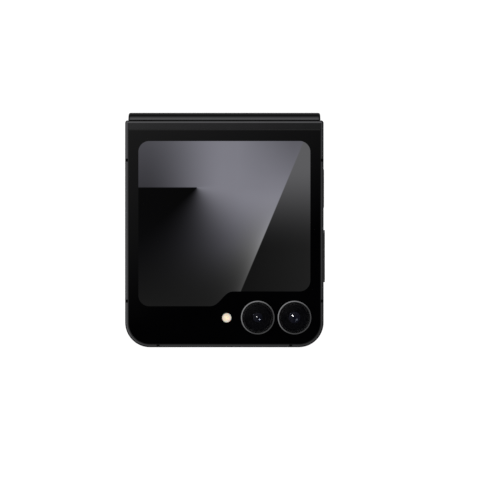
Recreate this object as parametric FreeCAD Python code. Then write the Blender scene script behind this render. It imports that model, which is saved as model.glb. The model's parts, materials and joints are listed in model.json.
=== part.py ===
import FreeCAD, Part
import math
import os
from FreeCAD import Vector

# A clamshell folding phone, closed, lying on its lower half. Millimetres, +X right, +Y towards the
# hinge, +Z up out of the cover glass. The origin is the centre of the face that it rests on.
# Everything on a half is drawn in the lower half's place, where z is the depth from its outer
# face, and upper() mirrors it into the upper half.

# ---- driving dimensions ------------------------------------------------------------------------
BODY_W = 71.9                 # width of both halves
HALF_L = 82.2                 # length of one half, along Y
HALF_T = 6.9                  # thickness of one half, glass included
CLOSED_T = 14.9               # thickness of the closed phone
HINGE_END = 39.65             # Y of the halves' hinge ends
FAR_END = HINGE_END - HALF_L
SIDE = BODY_W / 2
MID_Z = CLOSED_T / 2
CORNER_R = 9.0                # corners at the far end, seen from above
HINGE_CORNER_R = 1.0
EDGE_R = (0.95, 0.45)         # rounding of the frame's edges: outer face, display side
HINGE_BEVEL = (0.25, 1.0)     # slope on the hinge ends of the halves, in Y and in Z

GLASS_T = 0.6
RIM = 1.0                     # frame rim showing round the outer glass
GLASS_END = 36.35             # Y where the outer glass stops and the hinge rail starts
GLASS_GAP = 0.05
WALL = 2.35                   # frame wall round the component cavity
CAVITY_END = 27.8
PLATE_BOTTOM = 5.6            # the frame's mid plate, which the main display is bonded to

# ---- main display and fold ---------------------------------------------------------------------
DISPLAY_BACK = 6.25
DISPLAY_FACE = 6.75
DISPLAY_W = 34.0              # half width of the panel
BEZEL_IN = 32.3               # half width of the picture opening
BEZEL_OUT = 34.6
BEZEL_TOP = 7.1
BEZEL_END = 35.8
FOLD_START = 31.5             # Y where the bonded panel ends and the free fold starts

# ---- hinge: two parallel axes along X, one for each half ---------------------------------------
AXIS_Y = 38.0
AXIS_Z = 5.35                 # lower axis; the upper one is its mirror image about MID_Z
AXIS_GAP = 2 * (MID_Z - AXIS_Z)
SPINE_OUT = 2.97              # how far the closed spine stands out past the halves
SPINE_R = HINGE_END + SPINE_OUT - AXIS_Y
SPINE_L = 34.85               # half length of the spine
SPINE_SKIN = 0.55
SPINE_END_T = 0.8
SPINE_INNER = 0.6             # the cover's legs stop this far past the axes
SEAM = (-0.15, 0.25, 0.3)     # groove along the cover: its sides, from HINGE_END, and its depth
BAY_R = SPINE_R + 0.12        # the hollow in each half that the spine turns in
BAY_L = SPINE_L + 0.2
NOSE_R = 2.0                  # rounding of the halves' display-side hinge corners, about the axis

PIN_R = 0.38
KNUCKLE_R = 0.75
RUNNING = 0.05                # radial clearance of the turning fits
ARM_TOP = -0.95               # arm bars, relative to the axis
ARM_BOTTOM = -1.65
ARM_ROOT = -9.5
LUGS = ((20.0, 21.0), (30.2, 31.2))
LOWER_BAR = (21.15, 24.9)
UPPER_BAR = (26.3, 30.05)
GEAR_X = (25.05, 26.15)
GEAR_MODULE = 0.2
GEAR_TEETH = 12
GEAR_PITCH_R = GEAR_MODULE * GEAR_TEETH / 2
IDLER_PIN_R = 0.3
IDLER_Z = AXIS_GAP / 2 - GEAR_PITCH_R
IDLER_Y = math.sqrt((2 * GEAR_PITCH_R) ** 2 - IDLER_Z ** 2)
MESH_DEG = math.degrees(math.atan2(IDLER_Z, IDLER_Y))

WING_PIVOT = (-6.8, 0.33)     # display support plate's axle, relative to the hinge axis
WING_TILT = 17.5
WING_L = 4.7
WING_T = 0.2
WING_RISE = 0.52              # top of the flat plate above its axle
WING_W = 33.4

# ---- what the outside shows --------------------------------------------------------------------
CAMERAS = ((25.37, -31.75), (12.07, -31.75))
RING_R = 6.05
RING_WALL = 0.45
RING_OUT = 1.15               # how far the camera rings stand out of the cover glass
RING_SLOPE = (0.34, 0.24)     # width and depth of the turned slope round the ring's rim
WINDOW = (-1.03, -0.43)       # the lens windows' faces
FLASH = (0.85, -31.85)
FLASH_R = 1.75
FRONT_CAMERA = (0.0, -34.6)
PUNCH_R = 1.85
SCREEN_W = 31.1               # half width of the cover display
SCREEN_TOP = 32.1
SCREEN_LOW = -27.65
SCREEN_STEP = -22.3           # lower edge where the cameras need room
STEP_X = (-5.2, 3.3)
SCREEN_R = 3.9
BAND_W = 1.1
BAND_Y = (25.2, -25.8)
BAND_X = 24.0
KEY_Z = HALF_T / 2
VOLUME_KEY = (-19.0, -0.1)
SIDE_KEY = (8.0, 22.0)
KEY_TRAVEL = 0.25
TRAY_FACE = (2.0, 17.0)
TRAY_Z = 2.45

# ---- inside ------------------------------------------------------------------------------------
BOSS_R = 1.2
SCREW_R = 0.6
LOWER_SHEET = (0.72, 1.22)    # plastic carrier behind each outer glass
UPPER_SHEET = (0.75, 1.3)
LOWER_SCREWS = ((-16.4, -36.6), (-16.4, -23.4), (8.2, -23.2), (6.8, -38.2))
UPPER_SCREWS = ((-28.5, -32.2), (-8.5, -30.4), (-20.0, -38.4))
BOARD_BOTTOM = 3.45
BOARD_TOP = 4.15
SUB_BOARD = (2.0, 2.7)
CABLE_X = (-14.0, -3.0)       # the flexible circuit that crosses the hinge
CABLE_H = (-0.47, -0.35)      # its layer, relative to the lower axis


# ---- plain solids ------------------------------------------------------------------------------
def box(x0, x1, y0, y1, z0, z1):
    return Part.makeBox(x1 - x0, y1 - y0, z1 - z0, Vector(x0, y0, z0))


def rod(axis, r, x, y, z, length):
    """A cylinder from the point, along +X, +Y or +Z."""
    along = {"x": Vector(1, 0, 0), "y": Vector(0, 1, 0), "z": Vector(0, 0, 1)}[axis]
    return Part.makeCylinder(r, length, Vector(x, y, z), along)


def tube(axis, r_out, r_in, x, y, z, length):
    return rod(axis, r_out, x, y, z, length).cut(rod(axis, r_in, x, y, z, length))


def fuse(shapes):
    whole = shapes[0].multiFuse(list(shapes[1:])) if len(shapes) > 1 else shapes[0]
    return whole.removeSplitter()


def both_sides(shape):
    """The shape and its mirror image about X = 0."""
    return [shape, shape.mirror(Vector(0, 0, 0), Vector(1, 0, 0))]


def upper(shape):
    return shape.mirror(Vector(0, 0, MID_Z), Vector(0, 0, 1))


def rounded_face(x0, x1, y0, y1, r_low, r_high):
    """A rectangle in the XY plane, with r_low at its -Y corners and r_high at its +Y corners."""
    corners = [(x0, y0, r_low), (x1, y0, r_low), (x1, y1, r_high), (x0, y1, r_high)]
    towards = [(1, 1), (-1, 1), (-1, -1), (1, -1)]
    edges = []
    ends = []
    for i, ((x, y, r), (dx, dy)) in enumerate(zip(corners, towards)):
        on_x = Vector(x + dx * r, y, 0)
        on_y = Vector(x, y + dy * r, 0)
        centre = Vector(x + dx * r, y + dy * r, 0)
        middle = centre + Vector(-dx, -dy, 0) * (r / math.sqrt(2))
        first, last = (on_y, on_x) if i % 2 == 0 else (on_x, on_y)
        if r > 0:
            edges.append(Part.Arc(first, middle, last).toShape())
        ends.append((first, last))
    for (_, start), (stop, _) in zip(ends, ends[1:] + ends[:1]):
        edges.append(Part.LineSegment(start, stop).toShape())
    return Part.Face(Part.Wire(Part.__sortEdges__(edges)))


def slab(half_w, y0, y1, r_low, r_high, z0, z1):
    """A rounded plate, symmetric about X = 0."""
    return plate(-half_w, half_w, y0, y1, r_low, r_high, z0, z1)


def plate(x0, x1, y0, y1, r_low, r_high, z0, z1):
    face = rounded_face(x0, x1, y0, y1, r_low, r_high)
    return face.extrude(Vector(0, 0, z1 - z0)).translated(Vector(0, 0, z0))


def prism_x(points, x0, x1):
    """Extrudes a closed outline of (y, z) points along X."""
    corners = [Vector(x0, y, z) for y, z in points]
    return Part.Face(Part.makePolygon(corners + corners[:1])).extrude(Vector(x1 - x0, 0, 0))


def from_axis(points):
    """Points relative to the lower hinge axis, as (y, z)."""
    return [(AXIS_Y + y, AXIS_Z + z) for y, z in points]


def round_edges(shape, radius, wanted):
    """Fillets the edges whose two ends and middle all pass the test."""
    chosen = []
    for edge in shape.Edges:
        middle = edge.valueAt((edge.FirstParameter + edge.LastParameter) / 2)
        if all(wanted(p) for p in [v.Point for v in edge.Vertexes] + [middle]):
            chosen.append(edge)
    return shape.makeFillet(radius, chosen)


def stadium_x(y0, y1, z_mid, height, x0, x1):
    """A bar along X whose section is a rectangle with half-round ends."""
    r = height / 2
    middle = box(x0, x1, y0 + r, y1 - r, z_mid - r, z_mid + r)
    ends = [rod("x", r, x0, y, z_mid, x1 - x0) for y in (y0 + r, y1 - r)]
    return fuse([middle] + ends)


def stadium_y(x_mid, width, z_mid, height, y0, y1):
    r = height / 2
    middle = box(x_mid - width / 2 + r, x_mid + width / 2 - r, y0, y1, z_mid - r, z_mid + r)
    ends = [rod("y", r, x_mid + s * (width / 2 - r), y0, z_mid, y1 - y0) for s in (-1, 1)]
    return fuse([middle] + ends)


# ---- the frames --------------------------------------------------------------------------------
def half_envelope():
    """The outside of one half, with its edges and its hinge nose rounded."""
    body = slab(SIDE, FAR_END, HINGE_END, CORNER_R, HINGE_CORNER_R, 0, HALF_T)
    run, rise = HINGE_BEVEL
    body = body.cut(prism_x([(HINGE_END - run, 0), (HINGE_END, rise), (HINGE_END + 1, rise),
                             (HINGE_END + 1, -1), (HINGE_END - run, -1)], -SIDE - 1, SIDE + 1))
    body = round_edges(body, EDGE_R[0], lambda p: p.z < 0.001)
    body = round_edges(body, EDGE_R[1], lambda p: p.z > HALF_T - 0.001)
    corner = box(-SIDE - 1, SIDE + 1, AXIS_Y, HINGE_END + 1, AXIS_Z, HALF_T + 1)
    nose = rod("x", NOSE_R, -SIDE - 1, AXIS_Y, AXIS_Z, BODY_W + 2)
    return body.cut(corner.cut(nose))


def bay(x_half):
    """The hollow that the spine turns in: flat under the hinge rail, round about the axis."""
    floor = -BAY_R
    arc = Part.Arc(*[
        Vector(-x_half, AXIS_Y + BAY_R * math.cos(a), AXIS_Z + BAY_R * math.sin(a))
        for a in (math.radians(d) for d in (-90, -135, -180))
    ]).toShape()
    rest = Part.makePolygon([
        Vector(-x_half, y, z) for y, z in from_axis(
            [(-BAY_R, 0), (-BAY_R, 3), (4, 3), (4, floor), (0, floor)])
    ])
    return Part.Face(Part.Wire([arc] + rest.Edges)).extrude(Vector(2 * x_half, 0, 0))


def band_boxes():
    """Where the plastic antenna breaks cross the frame's wall."""
    half = BAND_W / 2
    gaps = []
    for y in BAND_Y:
        gaps += both_sides(box(SIDE - WALL, SIDE + 1, y - half, y + half, -1, HALF_T + 1))
    gaps += both_sides(
        box(BAND_X - half, BAND_X + half, FAR_END - 1, FAR_END + WALL, -1, HALF_T + 1))
    return gaps


def glass_recess():
    gap = GLASS_GAP
    return slab(SIDE - RIM + gap, FAR_END + RIM - gap, GLASS_END + gap,
                CORNER_R - RIM + gap, 0.4 + gap, -1, GLASS_T)


def display_recess():
    return slab(BEZEL_OUT + 0.05, FAR_END + SIDE - BEZEL_OUT - 0.05, HINGE_END + 3,
                CORNER_R - 1.3, 0, DISPLAY_BACK, HALF_T + 1)


def wall_ring():
    """One half's outer wall, with every recess taken out but no side openings yet."""
    cavity = slab(SIDE - WALL, FAR_END + WALL, CAVITY_END, CORNER_R - WALL, 2.0, 0.5,
                  PLATE_BOTTOM)
    fold_pocket = box(-DISPLAY_W - 0.05, DISPLAY_W + 0.05, 30.7, HINGE_END, 4.45, HALF_T + 1)
    nose_gap = box(-BAY_L, BAY_L, BEZEL_END + 0.05, HINGE_END + 1, AXIS_Z, HALF_T + 1)
    cable_slot = box(CABLE_X[0] - 0.3, CABLE_X[1] + 0.3, CAVITY_END - 1, 31.0, 4.7, 5.2)
    body = half_envelope()
    for hollow in (glass_recess(), cavity, display_recess(), bay(BAY_L), nose_gap):
        body = body.cut(hollow)
    side_ledge = prism_x(from_axis([
        (-BAY_R - 0.5, -0.3), (-0.3, -0.3), (-0.3, 0.35), (-2.2, 0.35), (-2.2, 1.4),
        (-BAY_R - 0.5, 1.4)]), DISPLAY_W, BAY_L + 0.2)
    body = fuse([body] + both_sides(side_ledge))
    for hollow in (fold_pocket, cable_slot):
        body = body.cut(hollow)
    pivot_y, pivot_z = from_axis([WING_PIVOT])[0]
    return body.cut(rod("x", 0.22 + RUNNING, -34.5, pivot_y, pivot_z, 69.0))


def arm_pockets(bar):
    x0, x1 = bar[0] - 0.15, bar[1] + 0.15
    root = AXIS_Y + ARM_ROOT - 0.15
    pocket = box(x0, x1, root, AXIS_Y, AXIS_Z + ARM_BOTTOM, HALF_T + 1)
    holes = [rod("z", 0.5, (bar[0] + bar[1]) / 2, y, 2.5, 2) for y in arm_screw_y()]
    return both_sides(fuse([pocket] + holes))


def arm_screw_y():
    return AXIS_Y - 8.7, AXIS_Y - 6.1


def frame_with(bar, bosses, openings):
    """The wall ring with screw bosses (x, y, z of the end, z of the shoulder) and openings."""
    posts = []
    threads = []
    for x, y, end, shoulder in bosses:
        posts.append(rod("z", BOSS_R, x, y, end, PLATE_BOTTOM - end + 0.1))
        posts.append(rod("z", BOSS_R + 0.4, x, y, shoulder, PLATE_BOTTOM - shoulder + 0.1))
        threads.append(rod("z", SCREW_R, x, y, end - 1, 4.2))
    body = fuse([wall_ring()] + posts)
    for hollow in arm_pockets(bar) + band_boxes() + threads + openings:
        body = body.cut(hollow)
    return body


def speaker_holes():
    return [rod("y", 0.55, 10.5 + 2.1 * i, FAR_END - 1, KEY_Z, WALL + 1.5) for i in range(6)]


def lower_frame():
    port = stadium_y(0, 9.1, KEY_Z, 3.3, FAR_END - 1, FAR_END + WALL + 0.5)
    mic = rod("y", 0.5, -9.5, FAR_END - 1, KEY_Z, WALL + 1.5)
    bosses = [(x, y, LOWER_SHEET[1], 4.6) for x, y in LOWER_SCREWS]
    return frame_with(LOWER_BAR, bosses, [port, mic] + speaker_holes())


def upper_frame():
    side = (SIDE - WALL - 1, SIDE + 1)
    keys = [stadium_x(y0 - 0.12, y1 + 0.12, KEY_Z, 2.44, *side)
            for y0, y1 in (VOLUME_KEY, SIDE_KEY)]
    tray = stadium_x(TRAY_FACE[0] - 0.07, TRAY_FACE[1] + 0.07, TRAY_Z, 1.64, -side[1], -side[0])
    mics = [rod("y", 0.45, x, FAR_END - 1, KEY_Z, WALL + 1.5) for x in (-13.0, 11.0)]
    screen = box(-SCREEN_W - 0.2, SCREEN_W + 0.2, CAVITY_END - 3, SCREEN_TOP + 0.2, 0.5, 1.6)
    camera = rod("z", 3.2, *FRONT_CAMERA, PLATE_BOTTOM - 0.5, 2)
    bosses = [(x, y, UPPER_SHEET[1], BOARD_TOP) for x, y in UPPER_SCREWS]
    return upper(frame_with(UPPER_BAR, bosses, keys + [tray, screen, camera] + mics))


def antenna_bands():
    """Plastic breaks in the metal wall, flush with its rounded outside."""
    shell = half_envelope().cut(glass_recess()).cut(display_recess())
    inner = slab(SIDE - WALL, FAR_END + WALL, CAVITY_END, CORNER_R - WALL, 2.0, 0.5, 8)
    shell = shell.cut(inner)
    return Part.makeCompound([shell.common(gap) for gap in band_boxes()])


# ---- glass, display and trim -------------------------------------------------------------------
def outer_glass(holes=()):
    pane = slab(SIDE - RIM, FAR_END + RIM, GLASS_END, CORNER_R - RIM, 0.4, 0, GLASS_T)
    pane = round_edges(pane, 0.14, lambda p: p.z < 0.001)
    for hole in holes:
        pane = pane.cut(hole)
    return pane


def cover_glass():
    holes = [rod("z", RING_R + 0.05, x, y, -1, 3) for x, y in CAMERAS]
    holes.append(rod("z", FLASH_R + 0.03, *FLASH, -1, 3))
    return upper(outer_glass(holes))


def screen_outline(grow=0.0):
    """The cover display's outline: a rounded rectangle whose lower right steps up in an S."""
    w, top, low, step = (SCREEN_W + grow, SCREEN_TOP + grow, SCREEN_LOW - grow,
                         SCREEN_STEP - grow)
    r = SCREEN_R + grow
    x0, x1 = STEP_X[0] + grow * 0.4, STEP_X[1] + grow * 0.4
    k = r * (1 - 1 / math.sqrt(2))
    mid = Vector((x0 + x1) / 2, (low + step) / 2, 0)

    def arc(a, b, c):
        return Part.Arc(Vector(*a, 0), Vector(*b, 0), Vector(*c, 0)).toShape()

    def line(a, b):
        return Part.LineSegment(Vector(*a, 0), Vector(*b, 0)).toShape()

    bend = Part.BezierCurve()
    bend.setPoles([Vector(x0, low, 0), Vector(mid.x - 0.6, low, 0),
                   Vector(mid.x + 0.6, step, 0), Vector(x1, step, 0)])
    return Part.Wire([
        line((-w + r, low), (x0, low)), bend.toShape(), line((x1, step), (w - r, step)),
        arc((w - r, step), (w - k, step + k), (w, step + r)),
        line((w, step + r), (w, top - r)), arc((w, top - r), (w - k, top - k), (w - r, top)),
        line((w - r, top), (-w + r, top)), arc((-w + r, top), (-w + k, top - k), (-w, top - r)),
        line((-w, top - r), (-w, low + r)), arc((-w, low + r), (-w + k, low + k), (-w + r, low)),
    ])


def cover_display():
    face = Part.Face(screen_outline())
    return upper(face.extrude(Vector(0, 0, 0.85)).translated(Vector(0, 0, GLASS_T)))


def display_panel(hole=None):
    panel = slab(DISPLAY_W, FAR_END + SIDE - DISPLAY_W, FOLD_START, CORNER_R - 1.95, 0,
                 DISPLAY_BACK, DISPLAY_FACE)
    return panel.cut(hole) if hole else panel


def fold_point(height, share):
    """A point of the fold at rest, relative to the lower axis, on the layer that lies `height`
    above that axis when the phone is open flat. share runs from 0, where the layer still follows
    the lower half, to 1, where it follows the spine. Turning the point back by share x 90
    degrees lays it on its flat layer, so the drop-shaped loop opens out flat."""
    face = DISPLAY_FACE - AXIS_Z
    start = FOLD_START - AXIS_Y + face
    run = (AXIS_GAP / 2 - face) - start
    turn = math.radians(90 * share)
    step = 0.5 - math.sin(math.asin(1 - 2 * share) / 3)
    reach = start + run * step
    slant = turn - math.pi / 4
    along = (reach / math.sqrt(2) + height * math.sin(slant)) / math.cos(slant)
    return (along * math.cos(turn) - height * math.sin(turn),
            along * math.sin(turn) + height * math.cos(turn))


def fold_layer(height, start, count=16):
    """Edges of one layer of the fold, from the lower half's flat run round to the upper's."""
    low = [fold_point(height, i / count) for i in range(count + 1)]
    high = [(y, AXIS_GAP - z) for y, z in reversed(low)]
    meets = math.isclose(low[-1][1], high[0][1], abs_tol=1e-6)

    def at(point):
        y, z = from_axis([point])[0]
        return Vector(0, y, z)

    def line(a, b):
        return Part.LineSegment(at(a), at(b)).toShape()

    loop = Part.BSplineCurve()
    loop.interpolate([at(p) for p in (low[:-1] if meets else low) + high],
                     InitialTangent=Vector(0, 1, 0), FinalTangent=Vector(0, -1, 0))
    if math.isclose(start, low[0][0], abs_tol=1e-6):
        return [loop.toShape()]
    return [line((start, height), low[0]), loop.toShape(),
            line(high[-1], (start, AXIS_GAP - height))]


def fold_strip(back, face, start, x0, x1):
    """A flexible strip that loops over the hinge, between two layer heights."""
    ends = []
    for sign_z in (0, 1):
        pair = [(start, h if sign_z == 0 else AXIS_GAP - h) for h in (back, face)]
        a, b = [Vector(0, *p) for p in from_axis(pair)]
        ends.append(Part.LineSegment(a, b).toShape())
    outline = fold_layer(back, start) + fold_layer(face, start) + ends
    face_x = Part.Face(Part.Wire(Part.__sortEdges__(outline)))
    return face_x.extrude(Vector(x1 - x0, 0, 0)).translated(Vector(x0, 0, 0))


def bezel(openings=()):
    far = FAR_END + SIDE - BEZEL_OUT
    outer = slab(BEZEL_OUT, far, BEZEL_END, CORNER_R - 1.35, 0, DISPLAY_FACE, BEZEL_TOP)
    window = slab(BEZEL_IN, FAR_END + 3.85, BEZEL_END + 5, CORNER_R - 2.6, 0, 6, 8)
    trim = outer.cut(window)
    for opening in openings:
        trim = trim.cut(opening)
    return round_edges(
        trim, 0.12, lambda p: p.z > BEZEL_TOP - 0.001 and p.y < BEZEL_END - 0.001)


def bumpers():
    """Rubber feet between the two bezels."""
    feet = []
    for y in (-25.0, 27.0):
        feet += both_sides(rod("z", 0.8, 33.45, y, BEZEL_TOP, 0.3))
    return Part.makeCompound(feet)


# ---- hinge -------------------------------------------------------------------------------------
def spine_profile(radius, inner):
    """The spine's section: two arcs, one about each axis, joined by a flat."""
    low_start = math.acos(inner / radius) if inner > 0 else math.pi / 2
    flat_y = AXIS_Y + radius

    def on_low(angle):
        return Vector(0, AXIS_Y + radius * math.cos(angle), AXIS_Z + radius * math.sin(angle))

    def mirrored(p):
        return Vector(0, p.y, 2 * MID_Z - p.z)

    first, mid, last = on_low(-low_start), on_low(-low_start / 2), Vector(0, flat_y, AXIS_Z)
    edges = [
        Part.Arc(first, mid, last).toShape(),
        Part.LineSegment(last, mirrored(last)).toShape(),
        Part.Arc(mirrored(last), mirrored(mid), mirrored(first)).toShape(),
    ]
    if inner > 0:
        edges.append(Part.LineSegment(mirrored(first), first).toShape())
    else:
        back = AXIS_Y - 1
        corners = [mirrored(first), Vector(0, back, mirrored(first).z),
                   Vector(0, back, first.z), first]
        edges += Part.makePolygon(corners).Edges
    return Part.Face(Part.Wire(edges))


def spine_solid(radius, inner, x_half):
    face = spine_profile(radius, inner)
    return face.extrude(Vector(2 * x_half, 0, 0)).translated(Vector(-x_half, 0, 0))


def fold_cap_stem(grow=0.0):
    return box(DISPLAY_W + 0.05, SPINE_L - 0.05, AXIS_Y - 1.5, AXIS_Y + 1.6 + grow,
               AXIS_Z + 1.2 - grow, AXIS_Z + AXIS_GAP - 1.2 + grow)


def hinge_cover():
    body = spine_solid(SPINE_R, SPINE_INNER, SPINE_L)
    body = round_edges(
        body, 0.8,
        lambda p: abs(p.x) > SPINE_L - 0.001 and p.y > AXIS_Y + SPINE_INNER + 0.001
        or abs(p.x) > SPINE_L - 0.001 and abs(p.z - MID_Z) > AXIS_GAP)
    body = body.cut(spine_solid(SPINE_R - SPINE_SKIN, 0, SPINE_L - SPINE_END_T))
    near, far, depth = SEAM
    seam = box(-SPINE_L - 1, SPINE_L + 1, HINGE_END + near, HINGE_END + far, -1, CLOSED_T + 1)
    body = body.cut(seam.cut(spine_solid(SPINE_R - depth, 0, SPINE_L + 2)))
    notch_y = (AXIS_Y, AXIS_Y + 1.8)
    for bar, z0, z1 in ((LOWER_BAR, -1, MID_Z), (UPPER_BAR, MID_Z, 16)):
        for notch in both_sides(box(bar[0] - 0.3, bar[1] + 0.3, *notch_y, z0, z1)):
            body = body.cut(notch)
    for seat in both_sides(fold_cap_stem(0.03)):
        body = body.cut(seat)
    return body


def fold_caps():
    """T-shaped end caps that cover the ends of the fold when the phone is open."""
    strip = box(BEZEL_IN + 0.1, SPINE_L - 0.05, AXIS_Y - 1.8, AXIS_Y - 1.5, AXIS_Z + 0.5,
                AXIS_Z + AXIS_GAP - 0.5)
    return Part.makeCompound(both_sides(fuse([strip, fold_cap_stem()])))


def pin_places():
    """Each hinge pin's (y, z, radius), relative to the lower axis."""
    return ((0, 0, PIN_R), (0, AXIS_GAP, PIN_R),
            (IDLER_Y, IDLER_Z, IDLER_PIN_R), (IDLER_Y, AXIS_GAP - IDLER_Z, IDLER_PIN_R))


def hinge_housing():
    """One U-shaped bracket, with a lug at each end for the pins."""
    base_y = (SPINE_R - SPINE_SKIN - 0.65, SPINE_R - SPINE_SKIN - 0.02)
    low, high = AXIS_Z - 0.2, AXIS_Z + AXIS_GAP + 0.2
    base = box(LUGS[0][0], LUGS[1][1], AXIS_Y + base_y[0], AXIS_Y + base_y[1], low, high)
    parts = [base.cut(box(GEAR_X[0] - 0.2, GEAR_X[1] + 0.2, AXIS_Y, HINGE_END + 9, 0, 20))]
    for x0, x1 in LUGS:
        knuckles = [rod("x", KNUCKLE_R, x0, AXIS_Y, AXIS_Z + z, x1 - x0) for z in (0, AXIS_GAP)]
        web = box(x0, x1, AXIS_Y, AXIS_Y + base_y[1], AXIS_Z - KNUCKLE_R,
                  AXIS_Z + AXIS_GAP + KNUCKLE_R)
        web = web.common(spine_solid(SPINE_R - SPINE_SKIN - 0.02, 0, SPINE_L))
        parts.append(fuse(knuckles + [web]))
    # the base is cut through at the gears, so a rail along each side of the slot keeps it whole
    rails = [box(LUGS[0][0], LUGS[1][1], AXIS_Y + base_y[0] + 0.33, AXIS_Y + base_y[1], z,
                 z + 0.5) for z in (low, high - 0.5)]
    body = fuse(parts + rails)
    for y, z, r in pin_places():
        body = body.cut(rod("x", r + 0.01, 0, AXIS_Y + y, AXIS_Z + z, 50))
    return body


def hinge_pins():
    pins = []
    for y, z, r in pin_places():
        stop = 33.6 if y == 0 else LUGS[1][1] + 0.1
        start = LUGS[0][0] - 0.1
        pins += both_sides(rod("x", r, start, AXIS_Y + y, AXIS_Z + z, stop - start))
    return Part.makeCompound(pins)


def friction_washers():
    """Spring washers and an end nut on each main pin, which hold the fold at any angle."""
    stack = []
    for z in (0, AXIS_GAP):
        place = (AXIS_Y, AXIS_Z + z)
        for i in range(5):
            stack += both_sides(tube("x", 0.7, PIN_R + 0.02, 31.3 + 0.34 * i, *place, 0.26))
        stack += both_sides(tube("x", 0.72, PIN_R + 0.01, 33.05, *place, 0.5))
    return Part.makeCompound(stack)


def gear_outline(phase_deg):
    """A gear's (y, z) outline about the origin, with one tooth centred on the phase angle."""
    tip, root = GEAR_PITCH_R + 0.17, GEAR_PITCH_R - 0.23
    points = []
    for i in range(GEAR_TEETH):
        middle = phase_deg + i * 360.0 / GEAR_TEETH
        for offset, r in ((-10.5, root), (-6.2, GEAR_PITCH_R), (-2.6, tip), (2.6, tip),
                          (6.2, GEAR_PITCH_R), (10.5, root)):
            a = math.radians(middle + offset)
            points.append((r * math.cos(a), r * math.sin(a)))
    return points


def mate_phase(phase, direction):
    """The tooth angle of an equal gear that meshes with one at `phase`, which it lies towards."""
    return 180 + 180.0 / GEAR_TEETH + 2 * direction - phase


def tooth_phases():
    lower_arm = MESH_DEG
    lower_idler = mate_phase(lower_arm, MESH_DEG)
    upper_idler = mate_phase(lower_idler, 90)
    upper_arm = mate_phase(upper_idler, 180 - MESH_DEG)
    return lower_arm, lower_idler, upper_idler, upper_arm


def sector_limits(phase_deg):
    """The directions where an arm's teeth start, halfway and stop, each in a root between teeth.
    They reach from the mesh point through the arm's 90 degree swing."""
    pitch = 360.0 / GEAR_TEETH
    low = math.floor(round((MESH_DEG - 90 - phase_deg) / pitch, 6)) - 0.5
    high = math.ceil(round((MESH_DEG - phase_deg) / pitch, 6)) + 0.5
    return [phase_deg + pitch * step for step in (low, (low + high) / 2, high)]


def gear(phase_deg, y, z):
    points = [(y + dy, z + dz) for dy, dz in gear_outline(phase_deg)]
    return prism_x(points, *GEAR_X)


def idler(y, z, phase_deg):
    wheel = gear(phase_deg, AXIS_Y + y, AXIS_Z + z)
    bore = rod("x", IDLER_PIN_R + RUNNING, 0, AXIS_Y + y, AXIS_Z + z, 50)
    return Part.makeCompound(both_sides(wheel.cut(bore)))


def hinge_arm(bar, tube_x, phase_deg):
    """One arm on the lower axis: a bar under the fold, a knuckle on the pin, a gear sector."""
    x0, x1 = bar
    slat = box(x0, x1, AXIS_Y + ARM_ROOT, AXIS_Y + 0.3, AXIS_Z + ARM_BOTTOM, AXIS_Z + ARM_TOP)
    web = box(x0, x1, AXIS_Y - KNUCKLE_R, AXIS_Y + 0.3, AXIS_Z + ARM_BOTTOM, AXIS_Z)
    knuckle = rod("x", KNUCKLE_R, tube_x[0], AXIS_Y, AXIS_Z, tube_x[1] - tube_x[0])
    turns = [math.radians(a) for a in sector_limits(phase_deg)]
    wedge = [(0, 0)] + [(3 * math.cos(a), 3 * math.sin(a)) for a in turns]
    sector = gear(phase_deg, AXIS_Y, AXIS_Z).common(prism_x(from_axis(wedge), *GEAR_X))
    body = fuse([slat, web, knuckle, sector])
    body = body.cut(rod("x", PIN_R + RUNNING, 0, AXIS_Y, AXIS_Z, 50))
    for y in arm_screw_y():
        body = body.cut(rod("z", 0.5, (x0 + x1) / 2, y, 2, 5))
    return body


def lower_arm():
    return hinge_arm(LOWER_BAR, (LOWER_BAR[0], GEAR_X[1]), tooth_phases()[0])


def upper_arm():
    return upper(hinge_arm(UPPER_BAR, (GEAR_X[0], UPPER_BAR[1]), -tooth_phases()[3]))


def arm_screws(bar):
    """Two flat-head screws through each arm into the frame's ledge."""
    screws = []
    for y in arm_screw_y():
        x = (bar[0] + bar[1]) / 2
        head = rod("z", 0.9, x, y, AXIS_Z + ARM_TOP, 0.35)
        shank = rod("z", 0.48, x, y, 2.6, AXIS_Z + ARM_TOP - 2.6)
        screws += both_sides(fuse([head, shank]))
    return screws


def wing_plate():
    """The plate under the fold, on its axle, tilted as it is when the phone is closed."""
    y, z = from_axis([WING_PIVOT])[0]
    top = z + WING_RISE
    leaf = box(-WING_W, WING_W, y - 0.05, y + WING_L, top - WING_T, top)
    axle = rod("x", 0.22, -34.4, y, z, 68.8)
    webs = [box(x, x + 1.2, y - 0.05, y + 0.3, z - 0.15, top)
            for x in (-WING_W, -12.6, 11.4, WING_W - 1.2)]
    body = fuse([leaf, axle] + webs)
    body.rotate(Vector(0, y, z), Vector(1, 0, 0), -WING_TILT)
    return body


# ---- inside the lower half ---------------------------------------------------------------------
def lower_battery():
    cell = plate(-30.0, 30.0, -21.5, 26.5, 1.5, 1.5, 1.35, 5.35)
    return round_edges(cell, 0.6, lambda p: p.z < 1.36 or p.z > 5.34)


def wireless_coil():
    """Flat charging coil: a spiral seen as rings, on its ferrite sheet."""
    sheet = rod("z", 21.5, 0, 2.5, 1.08, 0.22)
    turns = [tube("z", 20.5 - 1.15 * i, 19.7 - 1.15 * i, 0, 2.5, 0.75, 0.33) for i in range(8)]
    return fuse([sheet] + turns)


def sub_board():
    board = plate(-14.3, 6.6, FAR_END + 7.6, -24.8, 0.8, 0.8, *SUB_BOARD)
    tab = box(-12.5, -6.0, -39.8, FAR_END + 8.6, *SUB_BOARD)
    return fuse([board, tab])


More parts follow.
